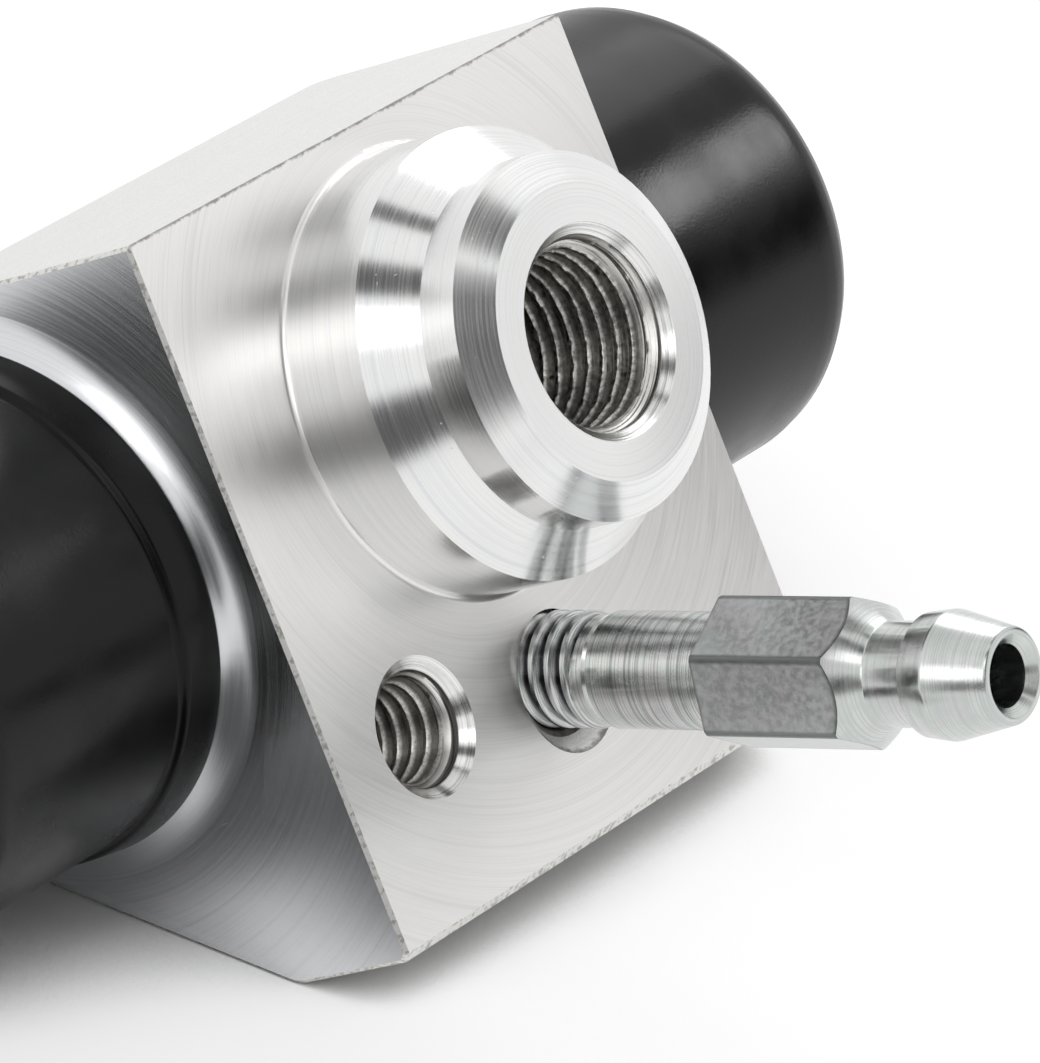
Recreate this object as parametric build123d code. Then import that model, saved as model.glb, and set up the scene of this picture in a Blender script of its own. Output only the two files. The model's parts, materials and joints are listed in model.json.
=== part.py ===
from build123d import *
import os
from math import cos, radians, sin, sqrt, tan

# The model is drawn in millimetres in the frame that its drawing would use. X runs along the bore.
# The mounting face is Y = 0, with the metal behind it at +Y. +Z points to the flat top, and
# X = Z = 0 is the middle of the locating boss. At the end everything is turned about X, so that
# the finished model lies on the slanted flat of its underside, with +Z up.

# Body, cut from an extruded bar
body_length = 36.0            # between the two end faces
bore_setback = 15.9           # bore centre line behind the mounting face
bore_drop = 2.3               # bore centre line below the middle of the boss
back_radius = 15.4            # round back, about the bore
bottom_depth = 24.65          # narrow underside, below the middle of the boss
rest_angle = 29.5             # slanted flat of the underside, to the narrow one
underside_round = 1.8         # rounded edge between the two undersides
face_chamfer = 0.45           # bottom edge of the mounting face
edge_break = 0.2              # chamfer around the end faces

# Bore and the spigot at each end of it
bore_radius = 9.525
bore_chamfer = 0.5
pad_set_back = 0.4            # edge of the turned pad, under the boot's cuff
pad_height = 0.8
pad_flare = 1.9               # width of the hollow flank, from the end face up to the pad's edge
spigot_wall = 1.375           # between the bore and the floor of the groove
spigot_groove_width = 2.55
spigot_lip_step = 0.55        # lip above the floor of the groove
spigot_lip_width = 1.25
spigot_lip_chamfer = 0.4

# Locating boss with the inlet in it
boss_radius = 11.45
boss_wall_height = 4.9
boss_fillet = 0.3             # corner between the boss and the mounting face
collar_radius = 9.3
collar_height = 2.2           # straight collar above the first cone
boss_cone_height = 2.3        # first cone, from the wall in to the collar
boss_top_radius = 7.5
boss_top_cone_height = 1.15   # second cone, from the collar in to the flat top
inlet_radius = 5.0            # major radius of the inlet thread
inlet_depth = 9.6
inlet_sink = 0.5              # countersink at its mouth
feed_radius = 1.25            # drilling from the inlet to the bore
drill_half_angle = 59.0

# Mounting hole
mounting_hole_offset = -10.8  # along X, from the middle of the boss
mounting_hole_drop = 15.0
mounting_hole_radius = 3.0    # major radius of its thread
mounting_hole_depth = 10.0
mounting_hole_sink = 0.6      # countersink at its mouth

# Bleeder hole, which leans down from square to the face
bleeder_drop = 16.1
bleeder_lean = 11.0
bleeder_hole_radius = 3.0     # major radius of its thread
bleeder_thread_depth = 8.0
bleeder_sink = 0.44           # countersink at its mouth
bleeder_drill_radius = 2.5    # below the thread, down to the seat
bleeder_drill_depth = 10.4
bleed_passage_radius = 1.4    # from the seat to the bore
seat_half_angle = 45.0

# Bleeder screw, measured outwards along its axis from the mounting face
thread_clearance = 0.04       # between the two plain stand-ins for the thread
screw_thread_end = 2.6        # outer end of the thread
screw_relief_end = 3.75
screw_relief = 0.22           # depth of the neck between the thread and the shank
shank_play = 0.05             # shank under the size of the thread
shank_shoulder = 0.12         # bevel at the inner end of the shank
hexagon_start = 10.95
hexagon_height = 8.0          # up to the corners at the outer end
hexagon_across_flats = 7.0
hexagon_cone_radius = 3.0     # where the cone that ends the hexagon meets the neck's collar
neck_blend = 0.55             # length of the slope from there to the neck
nipple_neck_radius = 2.62
nipple_back = 22.95           # back edge of the hose barb
nipple_back_radius = 3.08
nipple_barb_radius = 3.24     # widest place of the barb
nipple_barb_rise = 1.5        # from the back edge to the widest place
nipple_tip_radius = 2.4
nipple_tip = 27.8
nipple_tip_round = 0.25
drain_radius = 1.57           # drilled along the screw
drain_mouth_radius = 2.05     # countersink at its mouth
screw_pin_play = 0.2          # plain end below the thread, in its drilling
screw_pin_start = -7.5
screw_tip_radius = 0.9
drain_end_radius = 0.9        # narrower drilling through the plain end
drain_step = 1.0              # where it narrows, above the plain end
seat_clearance = 0.1
drain_cross_radius = 0.7      # cross drilling through the plain end
drain_cross_depth = 8.7

# Pistons
piston_clearance = 0.025      # running fit in the bore, on the radius
piston_start = 10.0           # inner face, from the middle of the body
piston_land_end = 27.0        # outer end of the part that fits the bore
piston_edge = 0.4
piston_nose_radius = 7.0
nose_reach = 4.6              # nose past the end of the boot
nose_groove_radius = 5.6      # the boot's lip sits here
shoe_slot_width = 6.4
shoe_slot_depth = 4.3

# Dust boots, measured outwards from the end face of the body
boot_length = 20.1
boot_wall = 1.15
boot_play = 0.3               # between the sleeve and the spigot's lip
boot_end_wall = 1.9
boot_end_round = 2.7
boot_cuff_step = 0.7          # cuff that clips on, past the sleeve
boot_cuff_taper = 0.35        # how much the cuff narrows towards the sleeve
boot_cuff_end = 3.2
boot_cuff_blend = 0.25        # length of the slope from the cuff to the sleeve
boot_cuff_round = 0.2
boot_gap = 0.1                # play along X between the boot and what it clips on
boot_grip_gap = 0.05          # play on the radius

# Cup seals, expanders and spring
cup_base = 2.6
cup_length = 5.5
cup_heel_play = 0.325         # heel of the cup, clear of the bore
cup_clearance = 0.03          # tip of the lip, clear of the bore
cup_lip_thickness = 1.1
cup_floor_wall = 2.425        # bore to the inside of the cup at its floor
expander_thickness = 0.8
expander_bend = 0.55          # from the flat part that seats the spring to the flared rim
expander_hole_radius = 1.6
expander_rim_length = 1.9
expander_gap = 0.15           # between the flared rim and the seal's lip
spring_radius = 4.6           # to the middle of the wire
spring_wire_radius = 0.5
spring_turns = 5.5

# Values worked out from those above
half_length = body_length / 2
bore_y = bore_setback
bore_z = -bore_drop
top_z = bore_z + back_radius
bottom_z = -bottom_depth
slope = radians(rest_angle)
boss_collar_start = boss_wall_height + boss_cone_height
boss_collar_end = boss_collar_start + collar_height
boss_height = boss_collar_end + boss_top_cone_height
spigot_lip_start = pad_height + spigot_groove_width
spigot_end = spigot_lip_start + spigot_lip_width
spigot_groove_radius = bore_radius + spigot_wall
spigot_lip_radius = spigot_groove_radius + spigot_lip_step
boot_inner_radius = spigot_lip_radius + boot_play
boot_radius = boot_inner_radius + boot_wall
boot_cuff_radius = boot_radius + boot_cuff_step
pad_radius = boot_cuff_radius - pad_set_back
cup_lip_radius = bore_radius - cup_clearance
cup_inner_radius = bore_radius - cup_floor_wall
screw_pin_radius = bleeder_drill_radius - screw_pin_play
shank_radius = bleeder_hole_radius - shank_play
hexagon_corner = hexagon_across_flats / sqrt(3)
piston_radius = bore_radius - piston_clearance
seal_floor = piston_start - cup_base
spring_end = seal_floor - expander_thickness
overlap = 1.0                 # how far a cutter or an added lug runs past the face that it starts on

# Frames of the turned features: local Z is the feature's own axis, pointing out of the metal
boss_frame = Plane(origin=(0, 0, 0), x_dir=(1, 0, 0), z_dir=(0, -1, 0))
mounting_hole_frame = Plane(
    origin=(mounting_hole_offset, 0, -mounting_hole_drop), x_dir=(1, 0, 0), z_dir=(0, -1, 0)
)
bleeder_frame = Plane(
    origin=(0, 0, -bleeder_drop),
    x_dir=(1, 0, 0),
    z_dir=(0, -cos(radians(bleeder_lean)), -sin(radians(bleeder_lean))),
)
bore_frame = Plane(origin=(0, bore_y, bore_z), x_dir=(0, 1, 0), z_dir=(1, 0, 0))
right_end_frame = bore_frame.offset(half_length)


def turned(outline):
    """A solid turned about local Z, from the (radius, height) points of its half section."""
    return revolve(Plane.XZ * make_face(Polyline(*outline, close=True)), Axis.Z)


def ring_edges(solid, frame, radius, height):
    """The circular edges of that radius, about the frame's axis at that height along it."""
    middle = frame.origin + frame.z_dir * height
    near = 1e-3
    return [
        edge
        for edge in solid.edges().filter_by(GeomType.CIRCLE)
        if abs(edge.radius - radius) < near and (edge.arc_center - middle).length < near
    ]


def both_ends(right):
    """The same solid at the right and the left end, as two solids."""
    return right, mirror(right, about=Plane.YZ)


def drilled(radius, depth, end_radius=0.0, half_angle=drill_half_angle):
    """A hole going down from local Z = 0, with the drill's cone at the bottom."""
    cone_end = -depth - (radius - end_radius) / tan(radians(half_angle))
    outline = [(0, overlap), (radius, overlap), (radius, -depth), (0, cone_end)]
    if end_radius > 0:
        outline.insert(3, (end_radius, cone_end))
    return turned(outline)


def rim(hole_radius, sink):
    """The 45 degree countersink at the mouth of a hole, going on out of the metal."""
    wide = hole_radius + sink + overlap
    return turned([(0, -sink), (hole_radius, -sink), (wide, overlap), (0, overlap)])


def bar():
    """The extruded bar: flat front, top and bottom, round back, and a slanted flat to rest on."""
    top_back = (bore_y, top_z)
    far_back = (bore_y + back_radius, bore_z)
    flat_end = (bore_y + back_radius * sin(slope), bore_z - back_radius * cos(slope))
    heel = (flat_end[0] - (flat_end[1] - bottom_z) / tan(slope), bottom_z)
    outline = [
        Line((0, bottom_z), (0, top_z)),
        Line((0, top_z), top_back),
        ThreePointArc(top_back, far_back, flat_end),
        Line(flat_end, heel),
        Line(heel, (0, bottom_z)),
    ]
    block = extrude(Plane.YZ * make_face(outline), half_length, both=True)
    along = block.edges().filter_by(Axis.X)
    block = fillet(along.sort_by_distance((0, *heel))[0], underside_round)
    face_bottom = block.edges().filter_by(Axis.X).sort_by_distance((0, 0, bottom_z))[0]
    block = chamfer(face_bottom, face_chamfer)
    end_faces = block.faces().filter_by(Axis.X)
    return chamfer(end_faces.edges(), edge_break)


def boss():
    """The locating boss that stands out of the mounting face."""
    return boss_frame * turned(
        [
            (0, -overlap),
            (boss_radius, -overlap),
            (boss_radius, boss_wall_height),
            (collar_radius, boss_collar_start),
            (collar_radius, boss_collar_end),
            (boss_top_radius, boss_height),
            (0, boss_height),
        ]
    )


def pad():
    """The low pad on the right end face, its flank hollowed out so that it runs into the face."""
    foot_radius = pad_radius + pad_flare
    outline = [
        Line((0, -overlap), (foot_radius, -overlap)),
        Line((foot_radius, -overlap), (foot_radius, 0)),
        TangentArc((foot_radius, 0), (pad_radius, pad_height), tangent=(-1, 0)),
        Line((pad_radius, pad_height), (0, pad_height)),
        Line((0, pad_height), (0, -overlap)),
    ]
    return right_end_frame * revolve(Plane.XZ * make_face(outline), Axis.Z)


def spigot():
    """The groove and lip that the right boot clips on, before the bore goes through them."""
    return right_end_frame * turned(
        [
            (0, -overlap),
            (spigot_groove_radius, -overlap),
            (spigot_groove_radius, spigot_lip_start),
            (spigot_lip_radius, spigot_lip_start),
            (spigot_lip_radius, spigot_end - spigot_lip_chamfer),
            (spigot_lip_radius - spigot_lip_chamfer, spigot_end),
            (0, spigot_end),
        ]
    )


def bore_cut():
    """The through bore with a chamfer at each mouth."""
    mouth = half_length + spigot_end
    wide = bore_radius + bore_chamfer + overlap
    outline = [(0, -mouth - overlap), (wide, -mouth - overlap), (bore_radius, -mouth + bore_chamfer)]
    outline += [(radius, -height) for radius, height in reversed(outline)]
    return bore_frame * turned(outline)


def inlet_cut():
    """The threaded inlet in the boss, with its countersink and the drilling on to the bore."""
    mouth = boss_frame.offset(boss_height)
    reach = boss_height + bore_setback
    thread = drilled(inlet_radius, inlet_depth, feed_radius)
    feed = turned([(0, 0), (feed_radius, 0), (feed_radius, -reach), (0, -reach)])
    return mouth * (thread + feed + rim(inlet_radius, inlet_sink))


def mounting_hole_cut():
    """The blind threaded hole for the mounting bolt."""
    hole = drilled(mounting_hole_radius, mounting_hole_depth)
    return mounting_hole_frame * (hole + rim(mounting_hole_radius, mounting_hole_sink))


def bleed_passage_length():
    """From the face along the bleeder's axis to the point nearest the bore's centre line."""
    lean = radians(bleeder_lean)
    return bore_y * cos(lean) + (bore_z + bleeder_drop) * sin(lean)


def bleeder_cut():
    """The bleeder's threaded hole, the seat at its bottom and the passage into the bore."""
    reach = bleed_passage_length()
    thread = drilled(bleeder_hole_radius, bleeder_thread_depth, bleeder_drill_radius)
    seat = drilled(bleeder_drill_radius, bleeder_drill_depth, bleed_passage_radius, seat_half_angle)
    passage = turned([(0, 0), (bleed_passage_radius, 0), (bleed_passage_radius, -reach), (0, -reach)])
    return bleeder_frame * (thread + seat + passage + rim(bleeder_hole_radius, bleeder_sink))


def make_body():
    right_end, left_end = both_ends(pad() + spigot())
    solid = bar() + boss() + right_end + left_end
    solid = fillet(ring_edges(solid, boss_frame, boss_radius, 0), boss_fillet)
    return solid - bore_cut() - inlet_cut() - mounting_hole_cut() - bleeder_cut()


def make_bleeder_screw():
    """The bleed screw: plain end and seat cone, thread, shank, hexagon and hose nipple."""
    cone_end = hexagon_start + hexagon_height + hexagon_corner - hexagon_cone_radius
    thread_radius = bleeder_hole_radius - thread_clearance
    relief_radius = bleeder_hole_radius - screw_relief
    seat_slope = tan(radians(seat_half_angle))
    seat_apex = -bleeder_drill_depth - bleeder_drill_radius / seat_slope
    tip_apex = seat_apex + seat_clearance / seat_slope
    pin_end = tip_apex + screw_pin_radius / seat_slope
    stem = turned(
        [
            (0, tip_apex + screw_tip_radius / seat_slope),
            (screw_tip_radius, tip_apex + screw_tip_radius / seat_slope),
            (screw_pin_radius, pin_end),
            (screw_pin_radius, screw_pin_start),
            (thread_radius, screw_pin_start),
            (thread_radius, screw_thread_end),
            (relief_radius, screw_thread_end),
            (relief_radius, screw_relief_end),
            (shank_radius - shank_shoulder, screw_relief_end),
            (shank_radius, screw_relief_end + shank_shoulder),
            (shank_radius, hexagon_start + overlap),
            (hexagon_cone_radius, hexagon_start + overlap),
            (hexagon_cone_radius, cone_end),
            (nipple_neck_radius, cone_end + neck_blend),
            (nipple_neck_radius, nipple_back),
            (nipple_back_radius, nipple_back),
            (nipple_barb_radius, nipple_back + nipple_barb_rise),
            (nipple_tip_radius, nipple_tip - nipple_tip_round),
            (nipple_tip_radius - nipple_tip_round, nipple_tip),
            (0, nipple_tip),
        ]
    )
    return bleeder_frame * (stem + hexagon() - drain())


def hexagon():
    """The hexagon for the spanner, a corner towards the flat top, ended by a 45 degree cone."""
    cone = hexagon_corner - hexagon_cone_radius
    prism = extrude(RegularPolygon(hexagon_corner, 6, rotation=90), hexagon_height + cone)
    envelope = turned(
        [
            (0, 0),
            (hexagon_corner + cone, 0),
            (hexagon_corner + cone, hexagon_height - cone),
            (hexagon_cone_radius, hexagon_height + cone),
            (0, hexagon_height + cone),
        ]
    )
    return Pos(0, 0, hexagon_start) * (prism & envelope)


def drain():
    """The drilling along the screw, its countersunk mouth, and the cross drilling at its end."""
    mouth = drain_mouth_radius - drain_radius
    along = turned(
        [
            (0, -drain_cross_depth),
            (drain_end_radius, -drain_cross_depth),
            (drain_end_radius, screw_pin_start + drain_step),
            (drain_radius, screw_pin_start + drain_step),
            (drain_radius, nipple_tip - mouth),
            (drain_mouth_radius + overlap, nipple_tip + overlap),
            (0, nipple_tip + overlap),
        ]
    )
    reach = screw_pin_radius + overlap
    across = Pos(0, 0, -drain_cross_depth) * (
        Rot(0, 90, 0) * Cylinder(drain_cross_radius, 2 * reach)
    )
    return along + across


def make_right_piston():
    """A piston: plain land in the bore, and a nose with a groove for the boot and a shoe slot."""
    boot_end = half_length + boot_length
    groove_start = boot_end - boot_end_wall - boot_gap
    groove_end = boot_end + boot_gap
    nose_end = boot_end + nose_reach
    cone = piston_radius - piston_nose_radius
    solid = turned(
        [
            (0, piston_start),
            (piston_radius - piston_edge, piston_start),
            (piston_radius, piston_start + piston_edge),
            (piston_radius, piston_land_end),
            (piston_nose_radius, piston_land_end + cone),
            (piston_nose_radius, groove_start),
            (nose_groove_radius, groove_start),
            (nose_groove_radius, groove_end),
            (piston_nose_radius, groove_end),
            (piston_nose_radius, nose_end - piston_edge),
            (piston_nose_radius - piston_edge, nose_end),
            (0, nose_end),
        ]
    )
    slot_middle = nose_end - shoe_slot_depth / 2
    slot = Pos(0, 0, slot_middle + overlap / 2) * Box(
        shoe_slot_width, 2 * (piston_nose_radius + overlap), shoe_slot_depth + overlap
    )
    return bore_frame * (solid - slot)


def make_right_dust_boot():
    """A rubber boot: cuff that clips in the spigot's groove, sleeve, and wall round the piston."""
    clip_start = pad_height + boot_gap
    clip_end = spigot_lip_start - boot_gap
    clip_inner_radius = spigot_groove_radius + boot_grip_gap
    hole_radius = nose_groove_radius + boot_grip_gap
    solid = turned(
        [
            (clip_inner_radius, clip_start),
            (boot_cuff_radius, clip_start),
            (boot_cuff_radius - boot_cuff_taper, boot_cuff_end),
            (boot_radius, boot_cuff_end + boot_cuff_blend),
            (boot_radius, boot_length),
            (hole_radius, boot_length),
            (hole_radius, boot_length - boot_end_wall),
            (boot_inner_radius, boot_length - boot_end_wall),
            (boot_inner_radius, clip_end),
            (clip_inner_radius, clip_end),
        ]
    )
    own = Plane.XY
    solid = fillet(ring_edges(solid, own, boot_cuff_radius, clip_start), boot_cuff_round)
    solid = fillet(ring_edges(solid, own, boot_radius, boot_length), boot_end_round)
    return right_end_frame * solid


def make_right_cup_seal():
    """A cup seal: solid base against the piston, and a lip that opens towards the fluid."""
    heel_radius = bore_radius - cup_heel_play
    lip_end = piston_start - cup_length
    return bore_frame * turned(
        [
            (0, piston_start),
            (heel_radius, piston_start),
            (heel_radius, seal_floor),
            (cup_lip_radius, lip_end),
            (cup_lip_radius - cup_lip_thickness, lip_end),
            (cup_inner_radius, seal_floor),
            (0, seal_floor),
        ]
    )


def make_right_cup_expander():
    """A pressed plate on the floor of the cup, with a rim flared like the inside of the lip."""
    flare = (cup_lip_radius - cup_lip_thickness - cup_inner_radius) / (cup_length - cup_base)
    rim_radius = cup_inner_radius - expander_gap
    rim_tip_radius = rim_radius + flare * expander_rim_length
    rim_end = seal_floor - expander_rim_length
    return bore_frame * turned(
        [
            (expander_hole_radius, seal_floor),
            (rim_radius, seal_floor),
            (rim_tip_radius, rim_end),
            (rim_tip_radius - expander_thickness, rim_end),
            (rim_radius - expander_bend, spring_end),
            (expander_hole_radius, spring_end),
        ]
    )


def make_return_spring():
    """A coil spring between the expanders, its wire cut off square at both ends."""
    length = 2 * (spring_end - spring_wire_radius)
    path = Helix(length / spring_turns, length, spring_radius)
    wire_section = Plane(origin=path @ 0, z_dir=path % 0) * Circle(spring_wire_radius)
    coil = sweep(wire_section, path=path, is_frenet=True)
    return bore_frame * Pos(0, 0, -length / 2) * coil


def make_pieces():
    """Every piece by its name, in the drawing's frame."""
    pieces = {"body": make_body(), "bleeder_screw": make_bleeder_screw()}
    pairs = {
        "piston": make_right_piston(),
        "dust_boot": make_right_dust_boot(),
        "cup_seal": make_right_cup_seal(),
        "cup_expander": make_right_cup_expander(),
    }
    for name, right in pairs.items():
        pieces[f"right_{name}"], pieces[f"left_{name}"] = both_ends(right)
    pieces["return_spring"] = make_return_spring()
    return pieces


def resting_place(pieces):
    """Turns the slanted flat down, and puts the origin below the middle of the whole model."""
    turn = Rot(-rest_angle, 0, 0)
    box = Compound(children=[turn * piece for piece in pieces.values()]).bounding_box()
    middle = box.center()
    return Pos(-middle.X, -middle.Y, -box.min.Z) * turn


pieces = make_pieces()
place = resting_place(pieces)
os.makedirs("parts", exist_ok=True)
for name, piece in pieces.items():
    export_step(place * piece, f"parts/{name}.step")
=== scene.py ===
# %% [markdown]
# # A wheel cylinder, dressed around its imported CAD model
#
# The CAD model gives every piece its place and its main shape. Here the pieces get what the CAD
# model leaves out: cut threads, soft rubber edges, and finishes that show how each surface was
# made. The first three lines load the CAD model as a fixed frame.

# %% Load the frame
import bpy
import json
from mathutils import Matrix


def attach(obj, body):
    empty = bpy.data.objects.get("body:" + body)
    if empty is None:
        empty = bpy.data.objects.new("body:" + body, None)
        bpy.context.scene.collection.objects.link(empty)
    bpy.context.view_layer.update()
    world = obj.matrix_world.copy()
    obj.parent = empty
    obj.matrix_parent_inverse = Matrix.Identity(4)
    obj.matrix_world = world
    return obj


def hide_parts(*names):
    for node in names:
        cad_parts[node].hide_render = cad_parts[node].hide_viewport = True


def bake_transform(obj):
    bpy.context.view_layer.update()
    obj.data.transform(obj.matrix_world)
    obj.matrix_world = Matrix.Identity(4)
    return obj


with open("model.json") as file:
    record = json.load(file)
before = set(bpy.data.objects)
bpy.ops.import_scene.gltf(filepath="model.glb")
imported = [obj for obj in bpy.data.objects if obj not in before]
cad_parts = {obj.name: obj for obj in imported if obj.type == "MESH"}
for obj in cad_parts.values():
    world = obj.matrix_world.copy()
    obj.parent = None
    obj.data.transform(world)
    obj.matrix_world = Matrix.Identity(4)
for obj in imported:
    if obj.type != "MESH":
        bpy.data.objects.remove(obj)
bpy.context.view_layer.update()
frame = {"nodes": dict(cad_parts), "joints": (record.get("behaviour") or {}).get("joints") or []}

# %% Tools for the script
import json
from math import acos, cos, pi, radians, sin, tan

import bmesh
import bpy
import numpy as np
from mathutils import Matrix, Vector

# %% [markdown]
# ## Two frames
#
# Blender and the frame measure in metres, with the object lying on the floor. A cylinder like this
# is easier to think about as its drawing shows it: in millimetres, with X along the bore, the
# mounting face at Y = 0 and the locating boss in the middle. One matrix takes the drawing to the
# floor. It turns the drawing about X until the slanted flat lies level, and its shift is read from
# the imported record, so the dressed pieces stay on the CAD model if that moves.

# %% From the drawing to the floor
MM = 0.001
REST_ANGLE = radians(29.5)
BLEEDER_DROP = 16.1
turn = Matrix.Rotation(-REST_ANGLE, 4, "X")
bleeder_joint = next(joint for joint in frame["joints"] if joint["name"] == "bleeder_turn")
bleeder_foot = Vector((0, 0, -BLEEDER_DROP * MM))
shift = Vector(bleeder_joint["pos_m"]) - turn @ bleeder_foot
PLACE = Matrix.Translation(shift) @ turn @ Matrix.Scale(MM, 4)
print("the drawing's origin lies at", [round(value, 5) for value in shift])

# %% [markdown]
# Turned features each have an axis. A feature frame has its origin on that axis at the surface
# where the feature starts, and its Z points out of the metal, so an outline is a list of radii and
# heights. The frames are those of the drawing.

# %% Frames of the turned features
BODY_LENGTH = 36.0
BORE_SETBACK = 15.9
BORE_DROP = 2.3
BLEEDER_LEAN = radians(11)
BOSS_HEIGHT = 10.55
MOUNTING_HOLE_OFFSET = -10.8
MOUNTING_HOLE_DROP = 15.0


def feature_frame(origin, x_axis, z_axis):
    """The matrix from a feature's own frame to the drawing."""
    z_axis = Vector(z_axis).normalized()
    x_axis = Vector(x_axis)
    rotation = Matrix((x_axis, z_axis.cross(x_axis), z_axis)).transposed()
    return Matrix.Translation(Vector(origin)) @ rotation.to_4x4()


BORE_MIDDLE = (0, BORE_SETBACK, -BORE_DROP)
OUT = (0, -1, 0)
BLEEDER_OUT = (0, -cos(BLEEDER_LEAN), -sin(BLEEDER_LEAN))
boss = feature_frame((0, 0, 0), (1, 0, 0), OUT)
boss_mouth = feature_frame((0, -BOSS_HEIGHT, 0), (1, 0, 0), OUT)
mounting_hole = feature_frame((MOUNTING_HOLE_OFFSET, 0, -MOUNTING_HOLE_DROP), (1, 0, 0), OUT)
bleeder = feature_frame((0, 0, -BLEEDER_DROP), (1, 0, 0), BLEEDER_OUT)
bore = feature_frame(BORE_MIDDLE, (0, 1, 0), (1, 0, 0))
right_end = feature_frame((BODY_LENGTH / 2, *BORE_MIDDLE[1:]), (0, 1, 0), (1, 0, 0))
left_end = feature_frame((-BODY_LENGTH / 2, *BORE_MIDDLE[1:]), (0, 1, 0), (-1, 0, 0))
print("feature frames: boss, boss_mouth, mounting_hole, bleeder, bore, right_end, left_end")

# %% [markdown]
# ## Camera
#
# The photograph was taken with a long lens from about half a metre, close enough to show some
# perspective. The place, direction and lens were worked out by fitting the drawing's edges to the
# picture, for an image of 1040 by 1063 pixels. Blender's sensor width belongs to the long side.

# %% Camera
IMAGE_HEIGHT = 1063
FOCAL_PIXELS = 10380.7
SENSOR = 36.0
EYE = Vector((-378.915, -342.530, 70.871))
LOOK = Vector((0.73370, 0.66172, -0.15430))
IMAGE_UP = Vector((0.35063, -0.17421, 0.92017))

camera = bpy.data.objects.new("camera", bpy.data.cameras.new("camera"))
bpy.context.scene.collection.objects.link(camera)
bpy.context.scene.camera = camera
camera.data.sensor_width = SENSOR
camera.data.lens = FOCAL_PIXELS / IMAGE_HEIGHT * SENSOR
camera.data.clip_start = 0.01
look = (turn.to_3x3() @ LOOK).normalized()
up = (turn.to_3x3() @ IMAGE_UP).normalized()
axes = Matrix((look.cross(up), up, -look)).transposed()
camera.matrix_world = Matrix.Translation(PLACE @ EYE) @ axes.to_4x4()
bpy.context.scene.view_settings.view_transform = "Standard"
print(f"lens {camera.data.lens:.0f} mm, camera at", [round(value, 3) for value in PLACE @ EYE])

# %% [markdown]
# ## Stage
#
# Bare metal has little colour of its own: it shows what stands around it. A product photographer
# builds that with a pale floor, large soft lamps and black cards just outside the picture. The
# world is white for the camera and for reflections, and the cards, which only reflections see, put
# the dark streaks into the turned metal.
#
# Every shader here is a tree of nodes. One function adds a node and fills its sockets, so a tree
# reads from its first node to its last. A socket gets a plain value, a hex colour or another node.
# Two kinds come up often. A range (MapRange) takes what lies between sockets 1 and 2 to between
# sockets 3 and 4, which are 0 and 1 where nothing is given, and it eases in and out. A mix of
# colours has the first in socket 6 and the second in socket 7.


# %% Node helpers
def linear(hex_colour):
    """An sRGB hex colour as the linear RGBA that Blender's sockets take."""
    parts = [int(hex_colour[i : i + 2], 16) / 255 for i in (1, 3, 5)]
    return (*[p / 12.92 if p <= 0.04045 else ((p + 0.055) / 1.055) ** 2.4 for p in parts], 1)


def fill(tree, node, sockets):
    """Gives a node's sockets their values or links. A node stands for the output it has in use."""
    for socket, value in sockets.items():
        if isinstance(value, bpy.types.Node):
            value = next(output for output in value.outputs if output.enabled)
        if isinstance(value, bpy.types.NodeSocket):
            tree.links.new(value, node.inputs[socket])
        else:
            node.inputs[socket].default_value = linear(value) if isinstance(value, str) else value
    return node


def add(tree, kind, sockets=None, **settings):
    """Adds a node with its settings and fills its sockets."""
    made = tree.nodes.new("ShaderNode" + kind)
    for name, value in settings.items():
        setattr(made, name, value)
    return fill(tree, made, sockets or {})


EASED = {"interpolation_type": "SMOOTHSTEP"}
COLOURS = {"data_type": "RGBA"}


def white_rays(tree):
    """1 for rays that show the white background: from the camera, a reflection or through glass."""
    path = add(tree, "LightPath").outputs
    seen = add(
        tree, "Math", {0: path["Is Camera Ray"], 1: path["Is Glossy Ray"]}, operation="MAXIMUM"
    )
    return add(tree, "Math", {0: seen, 1: path["Is Transmission Ray"]}, operation="MAXIMUM")


# %% World
SKY_LIGHT = 0.62

world = bpy.data.worlds.new("studio")
bpy.context.scene.world = world
world.use_nodes = True
tree = world.node_tree
tree.nodes.clear()
soft = add(tree, "Background", {"Color": "#FFFFFF", "Strength": SKY_LIGHT})
white = add(tree, "Background", {"Color": "#FFFFFF", "Strength": 1.0})
mixed = add(tree, "MixShader", {0: white_rays(tree), 1: soft, 2: white})
add(tree, "OutputWorld", {"Surface": mixed})
print("world: white to the camera, soft light at", SKY_LIGHT)

# %% [markdown]
# The floor is matte white paper. Under the lamps alone it would be grey, so it glows a little, for
# the camera and for reflections. Ambient occlusion tells how much open sky a point of the floor
# sees. It takes the glow away near the object, and that leaves the object its contact shadow.

# %% Floor
FLOOR_SIZE = 6.0
FLOOR_GLOW = 0.62
SHADOW_REACH = 0.06
SHADOW_SAMPLES = 12
SHADOW_SKY = 0.16
CLEAR_SKY = 0.42

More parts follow.
